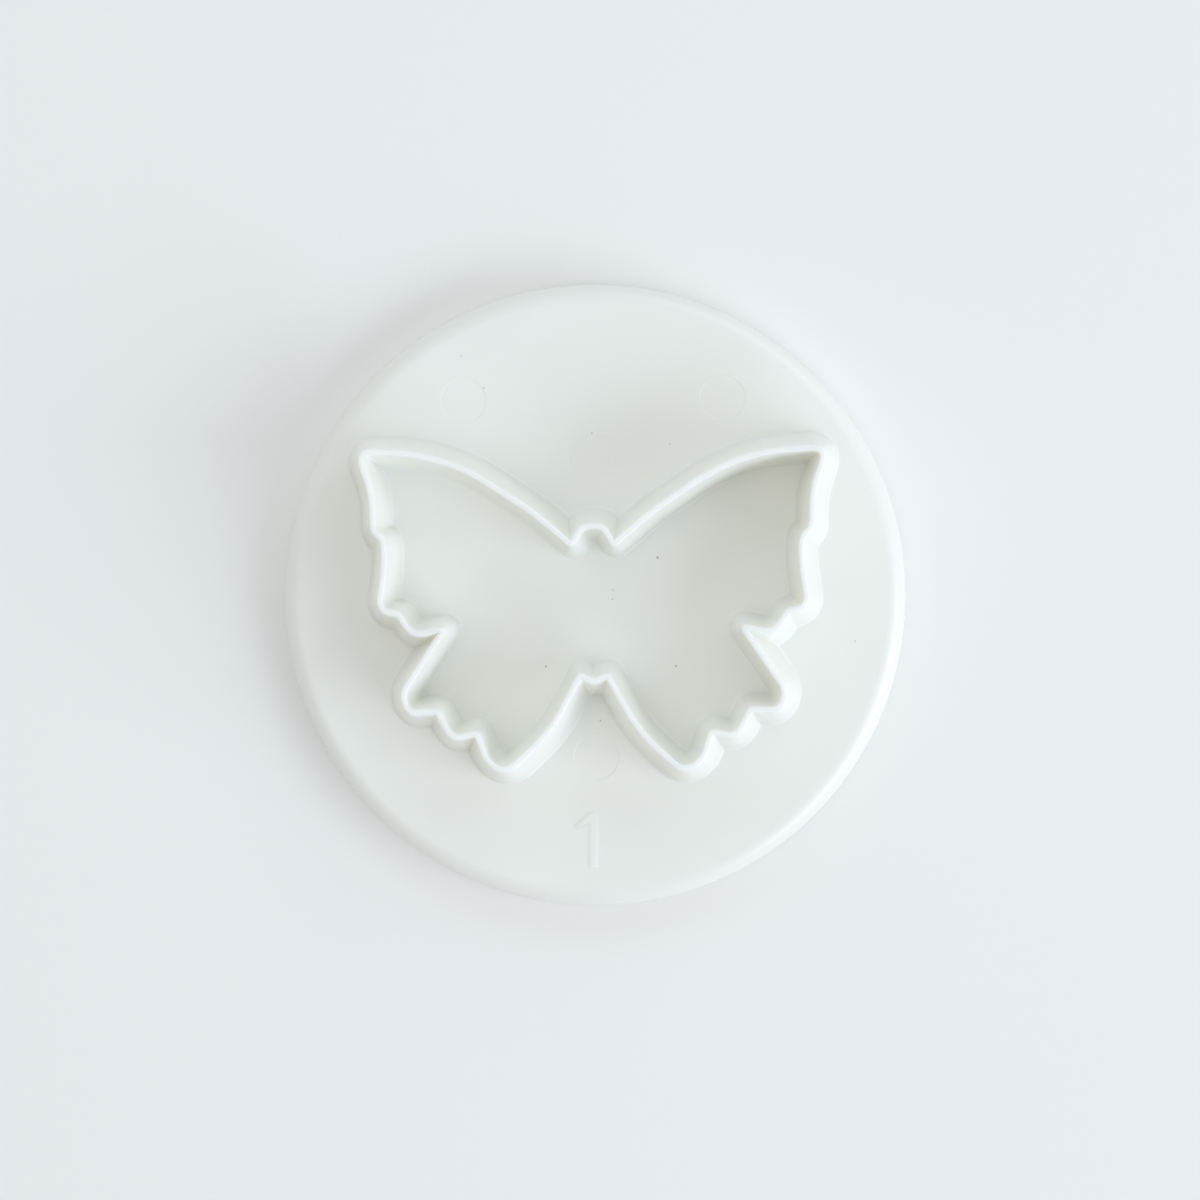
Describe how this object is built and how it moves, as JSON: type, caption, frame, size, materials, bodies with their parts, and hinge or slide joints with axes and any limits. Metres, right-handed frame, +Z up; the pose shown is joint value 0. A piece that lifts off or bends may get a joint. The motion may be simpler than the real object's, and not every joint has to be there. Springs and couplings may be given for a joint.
{
  "type": "fondant cutter",
  "caption": "Moulded plastic butterfly fondant cutter: a round press disc that carries a closed, tapered butterfly-shaped cutting wall.",
  "frame": {"origin": "middle of the disc's flat underside", "axes": "+Z up from the disc to the cutting edge, +Y towards the butterfly's head, +X towards its right wing as seen from above"},
  "size_m": [0.06, 0.06, 0.012],
  "materials": {
    "white_plastic": "satin moulded white plastic"
  },
  "bodies": {
    "root": {"base_disc": "white_plastic", "cutting_wall": "white_plastic"}
  },
  "joints": []
}
